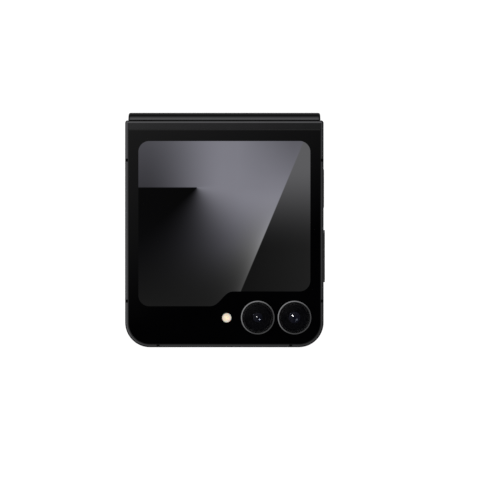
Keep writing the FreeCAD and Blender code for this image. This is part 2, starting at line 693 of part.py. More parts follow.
def sub_board_parts():
    """Microphone can, connectors and chips on the sub board."""
    places = ((-11.5, -39.2, 4.0, 3.0, 1.1), (-13.5, -33.5, 5.0, 3.5, 1.2),
              (-7.5, -33.0, 4.0, 4.0, 0.9), (-2.5, -31.5, 8.0, 2.4, 1.0),
              (-2.0, -28.0, 6.5, 2.6, 0.8))
    top = SUB_BOARD[1]
    return Part.makeCompound([box(x, x + w, y, y + d, top, top + h) for x, y, w, d, h in places])


def usb_shell():
    y0, y1 = FAR_END + 0.25, FAR_END + 7.6
    outer = stadium_y(0, 9.0, KEY_Z, 3.2, y0, y1)
    inner = stadium_y(0, 8.4, KEY_Z, 2.6, y0 - 1, y1 - 0.4)
    return outer.cut(inner)


def usb_tongue():
    y1 = FAR_END + 7.2
    blade = box(-3.35, 3.35, FAR_END + 1.3, y1, KEY_Z - 0.35, KEY_Z + 0.35)
    root = box(-3.9, 3.9, y1 - 1.6, y1, KEY_Z - 0.7, KEY_Z + 0.7)
    contacts = [box(x, x + 0.26, FAR_END + 1.7, y1 - 1.6, KEY_Z - 0.4, KEY_Z + 0.4)
                for x in (-2.83 + 0.49 * i for i in range(12))]
    return fuse([blade, root] + contacts)


def loudspeaker():
    case = plate(9.2, 31.0, -39.6, -24.5, 1.2, 1.2, 1.5, 5.2)
    case = case.cut(plate(12.0, 28.0, -36.0, -27.0, 3.0, 3.0, 1.0, 2.1))
    return case.common(slab(SIDE - WALL - 0.15, FAR_END + WALL + 0.1, CAVITY_END,
                            CORNER_R - WALL, 2, 0, 6))


def haptic_motor():
    case = plate(-32.0, -18.5, -34.5, -25.0, 1.0, 1.0, 1.6, 5.2)
    return round_edges(case, 0.25, lambda p: p.z < 1.61)


def lower_bracket():
    """Plastic antenna carrier over the sub board and speaker, under the back glass."""
    sheet = slab(SIDE - WALL - 0.15, FAR_END + WALL + 0.15, -21.8, CORNER_R - WALL, 0.8,
                 *LOWER_SHEET)
    for window in (plate(-13.0, 6.0, -33.5, -26.5, 1, 1, 0, 2),
                   plate(13.0, 27.0, -35.0, -28.0, 1, 1, 0, 2)):
        sheet = sheet.cut(window)
    return countersunk(sheet, LOWER_SCREWS, LOWER_SHEET[0])


def countersunk(sheet, points, top):
    """The sheet with a stepped hole at each point, deep enough to sink a screw's head."""
    for x, y in points:
        sheet = sheet.cut(rod("z", SCREW_R + 0.05, x, y, 0, 3))
        sheet = sheet.cut(rod("z", 1.05, x, y, 0, top + 0.35))
    return sheet


def carrier_screws(points, top):
    """Small screws with their heads towards the outer glass, sunk in the carrier sheet."""
    screws = []
    for x, y in points:
        head = rod("z", 1.0, x, y, top + 0.03, 0.32)
        shank = rod("z", SCREW_R - 0.01, x, y, top + 0.35, 2.6)
        cross = fuse([box(x - 0.6, x + 0.6, y - 0.12, y + 0.12, top, top + 0.18),
                      box(x - 0.12, x + 0.12, y - 0.6, y + 0.6, top, top + 0.18)])
        screws.append(fuse([head, shank]).cut(cross))
    return screws


def ribbon(points, thickness):
    """The flexible circuit along a (y, z) line through the middle of its thickness."""
    edge = [(y, z - thickness / 2) for y, z in points]
    edge += [(y, z + thickness / 2) for y, z in reversed(points)]
    return prism_x(edge, *CABLE_X)


def lower_cable_tail():
    """From the hinge, between the battery and the mid plate, down to its plug on the board."""
    level = AXIS_Z + sum(CABLE_H) / 2
    under_plate = PLATE_BOTTOM - 0.12
    plug_top = SUB_BOARD[1] + 0.8
    landing = plug_top + 0.06
    strip = ribbon([(31.0, level), (27.7, level), (26.7, under_plate), (-22.0, under_plate),
                    (-24.6, landing), (-27.6, landing)], CABLE_H[1] - CABLE_H[0])
    plug = box(CABLE_X[0] + 0.6, CABLE_X[1] - 0.6, -27.4, -25.0, SUB_BOARD[1], plug_top)
    return fuse([strip, plug])


def upper_cable_tail():
    strip = box(*CABLE_X, 22.0, 31.0, AXIS_Z + CABLE_H[0], AXIS_Z + CABLE_H[1])
    plug = box(CABLE_X[0] + 0.6, CABLE_X[1] - 0.6, 22.2, 24.6, BOARD_TOP, AXIS_Z + CABLE_H[0])
    return upper(fuse([strip, plug]))


# ---- inside the upper half ---------------------------------------------------------------------
def camera_ring(x, y):
    """Metal ring round a lens, through the cover glass, with a seat for the lens window."""
    wall = tube("z", RING_R, RING_R - RING_WALL, x, y, -RING_OUT, RING_OUT + UPPER_SHEET[0])
    slope = Part.makeCone(RING_R - RING_SLOPE[0], RING_R, RING_SLOPE[1], Vector(x, y, -RING_OUT))
    wall = wall.common(fuse([slope, rod("z", RING_R, x, y, -RING_OUT + RING_SLOPE[1], 3)]))
    seat = tube("z", RING_R - RING_WALL, RING_R - 1.2, x, y, WINDOW[1], 1.1)
    return upper(fuse([wall, seat]))


def camera_window(x, y):
    return upper(rod("z", RING_R - RING_WALL - 0.02, x, y, WINDOW[0], WINDOW[1] - WINDOW[0]))


def camera_module(x, y, iris):
    """Camera block: square base, round barrel with a stepped hood and its front lens."""
    base = plate(x - 5.2, x + 5.2, y - 5.2, y + 5.2, 0.6, 0.6, 2.0, 5.4)
    barrel = rod("z", 4.6, x, y, -0.3, 2.4)
    hood = Part.makeCone(4.2, iris + 0.5, 0.9, Vector(x, y, -0.3), Vector(0, 0, 1))
    well = rod("z", iris, x, y, -0.3, 1.6)
    lens = Part.makeSphere(iris * 1.6, Vector(x, y, 0.85 + iris * 1.6)).common(
        rod("z", iris, x, y, 0.5, 2.2))
    return upper(fuse([base, barrel.cut(hood).cut(well), lens]))


def flash_lens():
    x, y = FLASH
    window = rod("z", FLASH_R, x, y, 0, GLASS_T)
    flange = rod("z", FLASH_R + 0.5, x, y, GLASS_T, 0.5)
    return upper(fuse([window, flange]))


def front_camera():
    """Selfie camera under the punch hole, inside the mid plate."""
    x, y = FRONT_CAMERA
    body = rod("z", 3.0, x, y, 2.9, 3.2)
    barrel = rod("z", PUNCH_R - 0.15, x, y, 6.1, DISPLAY_FACE - 6.2)
    return upper(fuse([body, barrel]))


def earpiece():
    case = plate(-17.0, -5.0, -40.0, -36.2, 0.8, 0.8, 3.0, 5.4)
    return upper(case.common(slab(33.5, FAR_END + WALL + 0.1, 30, CORNER_R - WALL, 2, 0, 6)))


def upper_battery():
    cell = plate(3.0, 31.8, -21.5, 26.5, 1.5, 1.5, 1.75, 5.35)
    return upper(round_edges(cell, 0.6, lambda p: p.z < 1.76 or p.z > 5.34))


def main_board():
    board = plate(-32.8, 1.8, -22.0, 27.0, 0.8, 0.8, BOARD_BOTTOM, BOARD_TOP)
    arm = plate(-32.8, -6.0, -35.5, -21.0, 4.0, 0, BOARD_BOTTOM, BOARD_TOP)
    board = fuse([board, arm])
    for x, y in UPPER_SCREWS:
        board = board.cut(rod("z", BOSS_R + 0.1, x, y, 3, 2))
    return upper(board)


def board_shields():
    """Shield cans and chips on both faces of the main board."""
    outer = [(-31.5, -21.0, 14.5, 20.5, 1.35), (-15.5, -21.0, 15.5, 12.0, 1.2),
             (-15.5, -7.5, 15.5, 7.0, 0.95), (-13.5, 1.5, 13.5, 9.0, 1.15),
             (-13.5, 12.0, 6.0, 6.0, 0.85), (-30.5, -29.5, 12.0, 7.0, 1.05)]
    inner = [(-31.5, -20.0, 15.0, 15.0, 1.15), (-15.0, -20.0, 15.0, 18.0, 0.95),
             (-31.5, -3.5, 11.0, 11.0, 1.15), (-31.0, 10.0, 14.0, 12.0, 1.05),
             (-18.5, 0.5, 8.0, 8.0, 0.75)]
    cans = [box(x, x + w, y, y + d, BOARD_BOTTOM - h, BOARD_BOTTOM) for x, y, w, d, h in outer]
    cans += [box(x, x + w, y, y + d, BOARD_TOP, BOARD_TOP + h) for x, y, w, d, h in inner]
    return upper(Part.makeCompound(cans))


def upper_bracket():
    """Plastic carrier behind the cover glass, round the cameras and the flash."""
    edge = SIDE - WALL - 0.15
    sheet = fuse([slab(edge, FAR_END + WALL + 0.15, -28.2, CORNER_R - WALL, 0, *UPPER_SHEET),
                  plate(4.5, edge, -30.0, -23.0, 0, 0.8, *UPPER_SHEET)])
    for x, y in CAMERAS:
        sheet = sheet.cut(rod("z", 4.75, x, y, 0, 2))
    sheet = sheet.cut(rod("z", FLASH_R + 0.6, *FLASH, 0, 2))
    return upper(countersunk(sheet, UPPER_SCREWS, UPPER_SHEET[0]))


def card_reader():
    """Metal cage for the card tray, on the main board."""
    y0, y1 = TRAY_FACE[0] + 0.2, TRAY_FACE[0] + 12.3
    cage = box(-33.3, -14.6, y0, y1, 1.62, BOARD_BOTTOM)
    slot = box(-34, -15.0, y0 + 0.35, y1 - 0.35, TRAY_Z - 0.55, TRAY_Z + 0.55)
    return upper(cage.cut(slot))


def card_tray():
    """Tray for one small card, with its face plate and the ejector's pinhole."""
    y0, y1 = TRAY_FACE
    face = stadium_x(y0, y1, TRAY_Z, 1.5, -SIDE, -SIDE + 1.3)
    face = round_edges(face, 0.12, lambda p: p.x < -SIDE + 0.001)
    hole = rod("x", 0.42, -SIDE - 1, y1 - 1.6, TRAY_Z, 4)
    tongue = plate(-SIDE + 1.3, -15.4, y0 + 0.7, y0 + 11.8, 0.6, 0.6, TRAY_Z - 0.42,
                   TRAY_Z + 0.42)
    pocket = plate(-30.6, -17.9, y0 + 1.8, y0 + 10.7, 0.4, 0.4, TRAY_Z - 1, TRAY_Z + 0.26)
    window = plate(-28.6, -20.0, y0 + 3.2, y0 + 9.3, 0.4, 0.4, 0, 5)
    return upper(fuse([face.cut(hole), tongue]).cut(pocket).cut(window))


def key(y_range, out):
    """A side key: its cap in the frame's slot, and a wider flange that keeps it in."""
    y0, y1 = y_range
    cap = stadium_x(y0, y1, KEY_Z, 2.2, SIDE - WALL - 0.35, SIDE + out)
    cap = round_edges(cap, 0.1, lambda p: p.x > SIDE + out - 0.001)
    flange = box(SIDE - WALL - 0.7, SIDE - WALL - 0.3, y0 + 1.5, y1 - 1.5, KEY_Z - 1.55,
                 KEY_Z + 1.55)
    return upper(fuse([cap, flange]))


def volume_key():
    """The rocking key, with a round rib across its back that it rocks on."""
    middle = sum(VOLUME_KEY) / 2
    rib = upper(rod("z", 0.45, SIDE - WALL - 0.5, middle, KEY_Z - 1.55, 3.1))
    return fuse([key(VOLUME_KEY, 0.5), rib])


def key_switches():
    """Snap domes on the keys' flexible circuit, two under the rocker and one under the key."""
    strip_x = 31.8
    strip = box(strip_x, strip_x + 0.2, VOLUME_KEY[0], SIDE_KEY[1], KEY_Z - 1.2, KEY_Z + 1.2)
    places = (VOLUME_KEY[0] + 3, VOLUME_KEY[1] - 3, (SIDE_KEY[0] + SIDE_KEY[1]) / 2)
    height = SIDE - WALL - 0.7 - KEY_TRAVEL - 0.03 - (strip_x + 0.2)
    domes = [rod("x", 1.1, strip_x + 0.2, y, KEY_Z, height) for y in places]
    return upper(fuse([strip] + domes))


# ---- every node --------------------------------------------------------------------------------
def nodes():
    slot = box(-6.0, 6.0, FAR_END + 1.9, FAR_END + 2.35, 6, 8)
    punch = rod("z", PUNCH_R, *FRONT_CAMERA, 5, 3)
    phases = tooth_phases()
    arms = {"lower_hinge_arm": both_sides(lower_arm()), "upper_hinge_arm": both_sides(upper_arm())}
    made = {
        "lower_frame": lower_frame(),
        "lower_antenna_bands": antenna_bands(),
        "back_glass": outer_glass(),
        "lower_bezel": bezel(),
        "lower_bumpers": bumpers(),
        "main_display_lower": display_panel(),
        "lower_battery": lower_battery(),
        "wireless_coil": wireless_coil(),
        "sub_board": sub_board(),
        "sub_board_parts": sub_board_parts(),
        "usb_port_shell": usb_shell(),
        "usb_port_tongue": usb_tongue(),
        "loudspeaker": loudspeaker(),
        "haptic_motor": haptic_motor(),
        "lower_bracket": lower_bracket(),
        "lower_screws": Part.makeCompound(
            carrier_screws(LOWER_SCREWS, LOWER_SHEET[0]) + arm_screws(LOWER_BAR)),
        "lower_cable_tail": lower_cable_tail(),
        "lower_wing_plate": wing_plate(),
        "upper_frame": upper_frame(),
        "upper_antenna_bands": upper(antenna_bands()),
        "cover_glass": cover_glass(),
        "cover_display": cover_display(),
        "upper_bezel": upper(bezel([slot])),
        "upper_bumpers": upper(bumpers()),
        "main_display_upper": upper(display_panel(punch)),
        "upper_battery": upper_battery(),
        "main_board": main_board(),
        "board_shields": board_shields(),
        "front_camera": front_camera(),
        "earpiece": earpiece(),
        "flash_lens": flash_lens(),
        "camera_ring_outer": camera_ring(*CAMERAS[0]),
        "camera_ring_inner": camera_ring(*CAMERAS[1]),
        "camera_window_outer": camera_window(*CAMERAS[0]),
        "camera_window_inner": camera_window(*CAMERAS[1]),
        "wide_camera": camera_module(*CAMERAS[0], 1.7),
        "ultrawide_camera": camera_module(*CAMERAS[1], 1.4),
        "upper_bracket": upper_bracket(),
        "upper_screws": upper(Part.makeCompound(
            carrier_screws(UPPER_SCREWS, UPPER_SHEET[0]) + arm_screws(UPPER_BAR))),
        "upper_cable_tail": upper_cable_tail(),
        "upper_wing_plate": upper(wing_plate()),
        "card_reader": card_reader(),
        "card_tray": card_tray(),
        "volume_key": volume_key(),
        "side_key": key(SIDE_KEY, 0.2),
        "key_switches": key_switches(),
        "hinge_cover": hinge_cover(),
        "fold_caps": fold_caps(),
        "hinge_pins": hinge_pins(),
        "friction_washers": friction_washers(),
        "idler_gears_lower": idler(IDLER_Y, IDLER_Z, phases[1]),
        "idler_gears_upper": idler(IDLER_Y, AXIS_GAP - IDLER_Z, phases[2]),
        "main_display_fold": fold_strip(
            DISPLAY_BACK - AXIS_Z, DISPLAY_FACE - AXIS_Z, FOLD_START - AXIS_Y,
            -DISPLAY_W, DISPLAY_W),
        "hinge_cable_fold": fold_strip(*CABLE_H, 31.0 - AXIS_Y, *CABLE_X),
    }
    for name, (right, left) in dict(arms, hinge_housing=both_sides(hinge_housing())).items():
        made[name + "_right"] = right
        made[name + "_left"] = left
    return made


def main():
    os.makedirs("parts", exist_ok=True)
    made = nodes()
    for name, shape in made.items():
        if not shape.Solids or not shape.isValid() or any(s.Volume <= 0 for s in shape.Solids):
            raise ValueError(name + " isn't a set of valid solids")
        shape.exportStep(os.path.join("parts", name + ".step"))
        print(name, len(shape.Solids), "solids", round(shape.Volume, 2), "mm3")
    print(len(made), "nodes")


main()
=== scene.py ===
import json
import math
import bmesh
import bpy
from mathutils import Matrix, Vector
from mathutils.geometry import tessellate_polygon


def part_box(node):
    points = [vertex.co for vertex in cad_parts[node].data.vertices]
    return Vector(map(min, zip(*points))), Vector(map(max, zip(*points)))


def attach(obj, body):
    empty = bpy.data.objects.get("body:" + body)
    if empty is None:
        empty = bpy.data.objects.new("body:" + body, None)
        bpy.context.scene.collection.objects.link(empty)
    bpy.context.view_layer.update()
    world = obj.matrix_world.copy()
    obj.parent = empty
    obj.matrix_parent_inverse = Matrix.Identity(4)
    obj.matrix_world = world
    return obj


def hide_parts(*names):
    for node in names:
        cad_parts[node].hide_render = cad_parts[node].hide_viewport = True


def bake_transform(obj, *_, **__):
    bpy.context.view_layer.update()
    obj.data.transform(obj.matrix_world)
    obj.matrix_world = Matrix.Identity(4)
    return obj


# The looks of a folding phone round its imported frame. Shapes are worked out in millimetres from
# the frame's boxes and joints, and mesh_piece() turns them into metres.
MM = 0.001

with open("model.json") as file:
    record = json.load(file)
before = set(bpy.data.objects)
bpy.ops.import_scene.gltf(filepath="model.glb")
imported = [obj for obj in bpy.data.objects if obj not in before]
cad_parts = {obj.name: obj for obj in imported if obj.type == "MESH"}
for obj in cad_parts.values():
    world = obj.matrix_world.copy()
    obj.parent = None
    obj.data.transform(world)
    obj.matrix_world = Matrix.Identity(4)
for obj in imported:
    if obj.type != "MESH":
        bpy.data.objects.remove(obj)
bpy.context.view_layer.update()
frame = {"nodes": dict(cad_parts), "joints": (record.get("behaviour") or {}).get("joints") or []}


def box_mm(node):
    low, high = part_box(node)
    return low / MM, high / MM


def middle_of(node):
    low, high = box_mm(node)
    return (low + high) / 2


def joint_mm(name):
    """A joint's place in the row frame."""
    joint = next(j for j in frame["joints"] if j["name"] == name)
    return Vector(joint["pos_m"]) / MM


# ---- sizes, in millimetres ---------------------------------------------------------------------
GLASS = box_mm("cover_glass")
GLASS_R = (8.0, 0.4)          # corner radii at the far end and at the hinge end
GLASS_EDGE = (0.24, 0.14)     # width and drop of the pane's rounded rim
SEAM = 0.01                   # hairline round the display window and the flash
HINGE_END = box_mm("upper_frame")[1].y
# the hinge cover's painted shade, black in its groove, stops at GROOVE_END too
GROOVE_END = HINGE_END + 0.25    # where the hinge cover's groove beside the halves stops

SCREEN = box_mm("cover_display")
SCREEN_R = 3.9
SCREEN_STEP = -22.3           # the screen's lower edge above the cameras
STEP_X = (-5.2, 3.3)          # where the S between its two lower edges starts and ends
STEP_EASE = 0.6

LOWER_AXIS = joint_mm("hinge_lower")
UPPER_AXIS = joint_mm("hinge_upper")
AXIS_GAP = UPPER_AXIS.z - LOWER_AXIS.z
BEND = (-2.55, 0.35)          # where the fold starts and stops turning, in Y and in Z from an axis
PANEL = box_mm("main_display_lower")
PANEL_R = 7.05                # corners at the far end
PUNCH_R = 1.85
PANEL_H = (PANEL[0].z - LOWER_AXIS.z, PANEL[1].z - LOWER_AXIS.z)
CABLE = box_mm("hinge_cable_fold")
CABLE_H = (-0.47, -0.35)
CABLE_FLAT = 0.6              # its flat end, before the fold
CREASE = 0.09                 # how far the open display dips along its middle
FOLD_ROWS = 36

RING_GAP = 0.05               # between a camera ring and the pane
FLASH_R = 1.72
FLASH_FLANGE = 0.45           # width and height of the flange under the flash's lens
FLASH_BEVEL = 0.14
PRISM_RINGS = (FLASH_R - 0.22, 0.35, 0.15)    # outermost and innermost radius, and their pitch
PRISM_SLOPE = (0.13, 0.06)    # width and depth of a prism ring's sloping side
LENS_BASE = (5.2, 3.3)        # half width and height of a camera's square base
LENS_BASE_R = 0.6
BARREL_R = 4.6
BARREL_BEVEL = 0.15
BAFFLES = 4                   # steps from a barrel's mouth down to its lens
BAFFLE_R = 4.1                # the widest of them
BAFFLE_DROP = 0.16
BAFFLE_SLOPE = 0.12
LENS_WELL = (0.75, 1.65)      # top and bottom of the well that holds the lens, below the mouth
LENS_EDGE = (0.7, 1.05)       # top and bottom of the lens's own rim, below the mouth
LENS_STACKS = (
    # node, ring, aperture, lens curve
    ("wide_camera", "camera_ring_outer", 2.1, 5.0),
    ("ultrawide_camera", "camera_ring_inner", 1.75, 3.9),
)

FAN = (-10, 15.3)             # the point that the cover display's shadow fans out from
SLANTED_LINE = (25, 23, 0.42)    # a point on the line across it, and its slope in X for Y

CAMERA_AIM = (5.66, -3.70)    # the point that the view is centred on
CAMERA_HEIGHT = 965.0         # above the cover glass
CAMERA_LENS = 200.0

# ---- lamps, in metres and watts ----------------------------------------------------------------
FILL_LAMP = ((0.1, 0.25, 1.1), 0.7, 9.0)      # place, size and power
KEY_LAMP = ((-0.2, 0.17, 0.98), 0.2)          # place and size; each lens has its own power
RIM_LAMP = ((0.38, -0.4, 0.9), 0.3)
RIM_COLOUR = (0.72, 0.8, 1.0)
LENS_POWERS = ((24.0, 3.2), (7.0, 13.0))      # key and rim lamp of each lens


# ---- meshes ------------------------------------------------------------------------------------
def mesh_piece(name, points, faces, sharp_deg=35):
    """A closed mesh from points in millimetres, with even shading on its flat faces."""
    mesh = bpy.data.meshes.new(name)
    mesh.from_pydata([Vector(p) * MM for p in points], [], faces)
    work = bmesh.new()
    work.from_mesh(mesh)
    bmesh.ops.remove_doubles(work, verts=work.verts, dist=1e-7)
    bmesh.ops.recalc_face_normals(work, faces=work.faces)
    work.to_mesh(mesh)
    work.free()
    mesh.shade_smooth()
    mesh.set_sharp_from_angle(angle=math.radians(sharp_deg))
    obj = bpy.data.objects.new(name, mesh)
    bpy.context.scene.collection.objects.link(obj)
    obj.modifiers.new("even shading", "WEIGHTED_NORMAL").keep_sharp = True
    return obj


def arc(centre, radius, start_deg, turn_deg, steps):
    """Points along an arc, both ends included."""
    points = []
    for i in range(steps + 1):
        a = math.radians(start_deg + turn_deg * i / steps)
        points.append((centre[0] + radius * math.cos(a), centre[1] + radius * math.sin(a)))
    return points


def rounded_outline(half_w, y0, y1, r_low, r_high, steps=20):
    """Anticlockwise points of a rectangle about X = 0, with its own radius at each end."""
    low, high = y0 + r_low, y1 - r_high
    return (arc((half_w - r_low, low), r_low, -90, 90, steps)
            + arc((half_w - r_high, high), r_high, 0, 90, steps)
            + arc((-half_w + r_high, high), r_high, 90, 90, steps)
            + arc((-half_w + r_low, low), r_low, 180, 90, steps))


def glass_outline(inset):
    """The cover glass seen from above, drawn in by inset."""
    low, high = GLASS
    return rounded_outline(high.x - inset, low.y + inset, high.y - inset, GLASS_R[0] - inset,
                           max(GLASS_R[1] - inset, 0.05))


def screen_outline(grow=0.0, steps=14):
    """The display window: a rounded rectangle whose lower right steps up in an S."""
    w = SCREEN[1].x + grow
    top, low, step = SCREEN[1].y + grow, SCREEN[0].y - grow, SCREEN_STEP - grow
    r = SCREEN_R + grow
    middle = sum(STEP_X) / 2
    poles = [Vector((STEP_X[0], low)), Vector((middle - STEP_EASE, low)),
             Vector((middle + STEP_EASE, step)), Vector((STEP_X[1], step))]
    bend = []
    for i in range(2 * steps + 1):
        t = i / (2 * steps)
        a, b, c = [p.lerp(q, t) for p, q in zip(poles, poles[1:])]
        bend.append(tuple(a.lerp(b, t).lerp(b.lerp(c, t), t)))
    return (arc((w - r, step + r), r, -90, 90, steps) + arc((w - r, top - r), r, 0, 90, steps)
            + arc((-w + r, top - r), r, 90, 90, steps) + arc((-w + r, low + r), r, 180, 90, steps)
            + bend)


def circle(centre, radius, steps=96):
    return arc(centre, radius, 0, 360, steps)[:-1]


def pane(name, rings, holes=()):
    """A flat pane with straight holes. rings are (outline, height) pairs from its bottom rim up,
    each outline with as many points as the last."""
    points = []
    faces = []

    def add_loop(outline, z):
        first = len(points)
        points.extend((x, y, z) for x, y in outline)
        return list(range(first, len(points)))

    def join(a, b):
        for i in range(len(a)):
            k = (i + 1) % len(a)
            faces.append((a[i], a[k], b[k], b[i]))

    def cap(loops):
        order = [i for loop in loops for i in loop]
        outlines = [[Vector(points[i]) for i in loop] for loop in loops]
        faces.extend(tuple(order[i] for i in tri) for tri in tessellate_polygon(outlines))

    rim = [add_loop(outline, z) for outline, z in rings]
    for a, b in zip(rim, rim[1:]):
        join(a, b)
    bottoms = [add_loop(hole, rings[0][1]) for hole in holes]
    tops = [add_loop(hole, rings[-1][1]) for hole in holes]
    for a, b in zip(bottoms, tops):
        join(a, b)
    cap([rim[0]] + bottoms)
    cap([rim[-1]] + tops)
    return mesh_piece(name, points, faces)


def turned(name, centre, profile, steps=96):
    """Turns a (radius, height) line about the vertical through centre. It starts and ends on
    the axis, so the piece is closed."""
    points = []
    faces = []
    for i in range(steps):
        a = 2 * math.pi * i / steps
        points += [(centre[0] + r * math.cos(a), centre[1] + r * math.sin(a), z)
                   for r, z in profile]
    n = len(profile)
    for i in range(steps):
        a, b = i * n, (i + 1) % steps * n
        faces += [(a + k, b + k, b + k + 1, a + k + 1) for k in range(n - 1)]
    return mesh_piece(name, points, faces)


def dome(radius, curve, edge_z, steps=14):
    """A (radius, height) line over a lens surface, from its rim to its middle. A negative curve
    is hollow."""
    line = []
    for i in range(steps + 1):
        r = radius * (1 - i / steps)
        sag = abs(curve) - math.sqrt(curve ** 2 - r ** 2)
        rim_sag = abs(curve) - math.sqrt(curve ** 2 - radius ** 2)
        line.append((r, edge_z + math.copysign(rim_sag - sag, curve)))
    return line


# ---- pieces of the outside ---------------------------------------------------------------------
def cover_pane():
    """The cover glass, with a window for the display, and holes for the rings and the flash."""
    z0, z1 = GLASS[0].z, GLASS[1].z
    width, drop = GLASS_EDGE
    rings = [(glass_outline(0), z0)]
    for i in range(9):
        a = math.radians(90 * i / 8)
        rings.append((glass_outline(width * (1 - math.cos(a))), z1 - drop * (1 - math.sin(a))))
    holes = [screen_outline(SEAM)]
    for _, ring, *_ in LENS_STACKS:
        low, high = box_mm(ring)
        holes.append(circle(middle_of(ring), (high.x - low.x) / 2 + RING_GAP))
    holes.append(circle(middle_of("flash_lens"), FLASH_R + SEAM))
    return pane("cover_glass_pane", rings, holes)


def cover_window():
    """The part of the cover glass in front of the display, level with the pane."""
    z0, z1 = SCREEN[0].z, GLASS[1].z
    return pane("cover_screen", [(screen_outline(), z0), (screen_outline(), z1)])


def flash():
    """The flash's moulded lens, with fine prism rings under a bevelled rim."""
    z0, z1 = box_mm("flash_lens")[0].z, GLASS[1].z
    flange_r, flange_z = FLASH_R + FLASH_FLANGE, z0 + FLASH_FLANGE
    line = [(0, z0), (flange_r, z0), (flange_r, flange_z), (FLASH_R, flange_z),
            (FLASH_R, z1 - FLASH_BEVEL), (FLASH_R - FLASH_BEVEL, z1)]
    r, innermost, pitch = PRISM_RINGS
    width, depth = PRISM_SLOPE
    while r > innermost:
        line += [(r, z1), (r - width, z1 - depth)]
        r -= pitch
    line += [(0.28, z1 - 0.02), (0, z1)]
    return turned("flash_prism", middle_of("flash_lens"), line)


def lens_stack(node, ring, aperture, curve):
    """One camera: its square base, stepped barrel and domed front lens."""
    x, y, _ = middle_of(ring)
    low, high = box_mm(node)
    top = high.z
    half_w, height = LENS_BASE
    step_z = low.z + height
    base = rounded_outline(half_w, -half_w, half_w, LENS_BASE_R, LENS_BASE_R, 6)
    base = [(x + dx, y + dy) for dx, dy in base]
    housing = pane(node + "_base", [(base, low.z), (base, step_z)])
    line = [(0, step_z), (BARREL_R, step_z), (BARREL_R, top - BARREL_BEVEL),
            (BARREL_R - BARREL_BEVEL, top)]
    for i in range(BAFFLES):
        r = BAFFLE_R - i * (BAFFLE_R - aperture - 0.25) / (BAFFLES - 1)
        line += [(r, top - BAFFLE_DROP * i), (r - BAFFLE_SLOPE, top - BAFFLE_DROP * (i + 1))]
    well_top, well_floor = (top - depth for depth in LENS_WELL)
    line += [(aperture, well_top), (aperture, well_floor), (0, well_floor)]
    barrel = turned(node + "_barrel", (x, y), line)
    r = aperture - 0.02
    edge_top, back = (top - depth for depth in LENS_EDGE)
    glass = [(0, back), (r, back)] + dome(r, curve, edge_top)
    lens = turned(node + "_front_lens", (x, y), glass)
    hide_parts(node)
    return housing, barrel, lens


def selfie_camera():
    """The camera under the main display's punch hole: it looks down, into the fold."""
    x, y, _ = middle_of("front_camera")
    low, high = box_mm("front_camera")
    lens = reversed(dome(0.65, -2.0, low.z + 0.4))
    line = [*lens, (0.7, low.z + 0.3), (1.15, low.z), (PUNCH_R - 0.15, low.z),
            (PUNCH_R - 0.15, low.z + 0.65), (3.0, low.z + 0.65), (3.0, high.z), (0, high.z)]
    return turned("selfie_camera", (x, y), line)


# ---- the pieces that bend over the hinge -------------------------------------------------------
def fold_point(height, share):
    """A point of the closed fold, as (y, z) from the lower axis, on the layer that lies height
    above that axis when the phone is open. share is how far the point turns with the spine, so
    turning it back by share x 90 degrees lays it on its flat layer."""
    start = 2 * BEND[0]
    run = 2 * BEND[1] - start
    turn = math.radians(90 * share)
    reach = start + run * (0.5 - math.sin(math.asin(1 - 2 * share) / 3))
    slant = turn - math.pi / 4
    along = (reach / math.sqrt(2) + height * math.sin(slant)) / math.cos(slant)
    return (along * math.cos(turn) - height * math.sin(turn),
            along * math.sin(turn) + height * math.cos(turn))


def bent_rows(heights, crease):
    """(back, face) point pairs round one half of the fold, as far as the middle of the spine."""
    rows = []
    for i in range(1, FOLD_ROWS + 1):
        share = i / FOLD_ROWS
        dip = crease * max(0.0, (share - 0.6) / 0.4) ** 2
        rows.append([fold_point(h - dip, share) for h in heights])
    rows.append([(crease - h, AXIS_GAP / 2) for h in heights])
    return rows


def half_strip(name, outline, edge, heights, upper, hole=None, crease=0.0):
    """One half of a sheet that crosses the hinge: a flat part with the given (x, y) outline,
    which ends at the edge points, and half of the fold. upper mirrors it into the upper half."""
    points = []
    faces = []
    loop = outline + edge[1:-1]
    n, m = len(loop), len(hole or [])

    def place(x, y, z):
        return (x, y, UPPER_AXIS.z - z if upper else LOWER_AXIS.z + z)

    for h in heights:
        points += [place(x, y, h) for x, y in loop + (hole or [])]
    back, face = 0, n + m
    for base in (back, face):
        loops = [[Vector((x, y, 0)) for x, y in ring] for ring in (loop, hole) if ring]
        faces += [tuple(base + i for i in tri) for tri in tessellate_polygon(loops)]
    edge_at = [len(outline) - 1] + list(range(len(outline), n)) + [0]
    for i in range(n):
        k = (i + 1) % n
        if not (i in edge_at and k in edge_at):
            faces.append((back + i, back + k, face + k, face + i))
    for i in range(m):
        k = n + (i + 1) % m
        faces.append((back + n + i, back + k, face + k, face + n + i))

    last = [[back + i for i in edge_at], [face + i for i in edge_at]]
    for row in bent_rows(heights, crease):
        new = []
        for y, z in row:
            first = len(points)
            points += [place(x, LOWER_AXIS.y + y, z) for x, _ in edge]
            new.append(list(range(first, len(points))))
        for old, now in zip(last, new):
            faces += [(old[i], old[i + 1], now[i + 1], now[i]) for i in range(len(edge) - 1)]
        for side in (0, -1):
            faces.append((last[0][side], new[0][side], new[1][side], last[1][side]))
        last = new
    faces += [(last[0][i], last[0][i + 1], last[1][i + 1], last[1][i])
              for i in range(len(edge) - 1)]
    obj = mesh_piece(name, points, faces)
    bodies, axis = (("hinge_spine", "upper_half"), UPPER_AXIS) if upper else (
        ("lower_half", "hinge_spine"), LOWER_AXIS)
    up = -1 if upper else 1
    ends = [axis + Vector((0, d, d * up)) for d in BEND]
    start, end = reversed(ends) if upper else ends
    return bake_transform(obj, *bodies, start=start * MM, end=end * MM)


def edge_points(x0, x1, y, steps):
    return [(x0 + (x1 - x0) * i / steps, y) for i in range(steps + 1)]


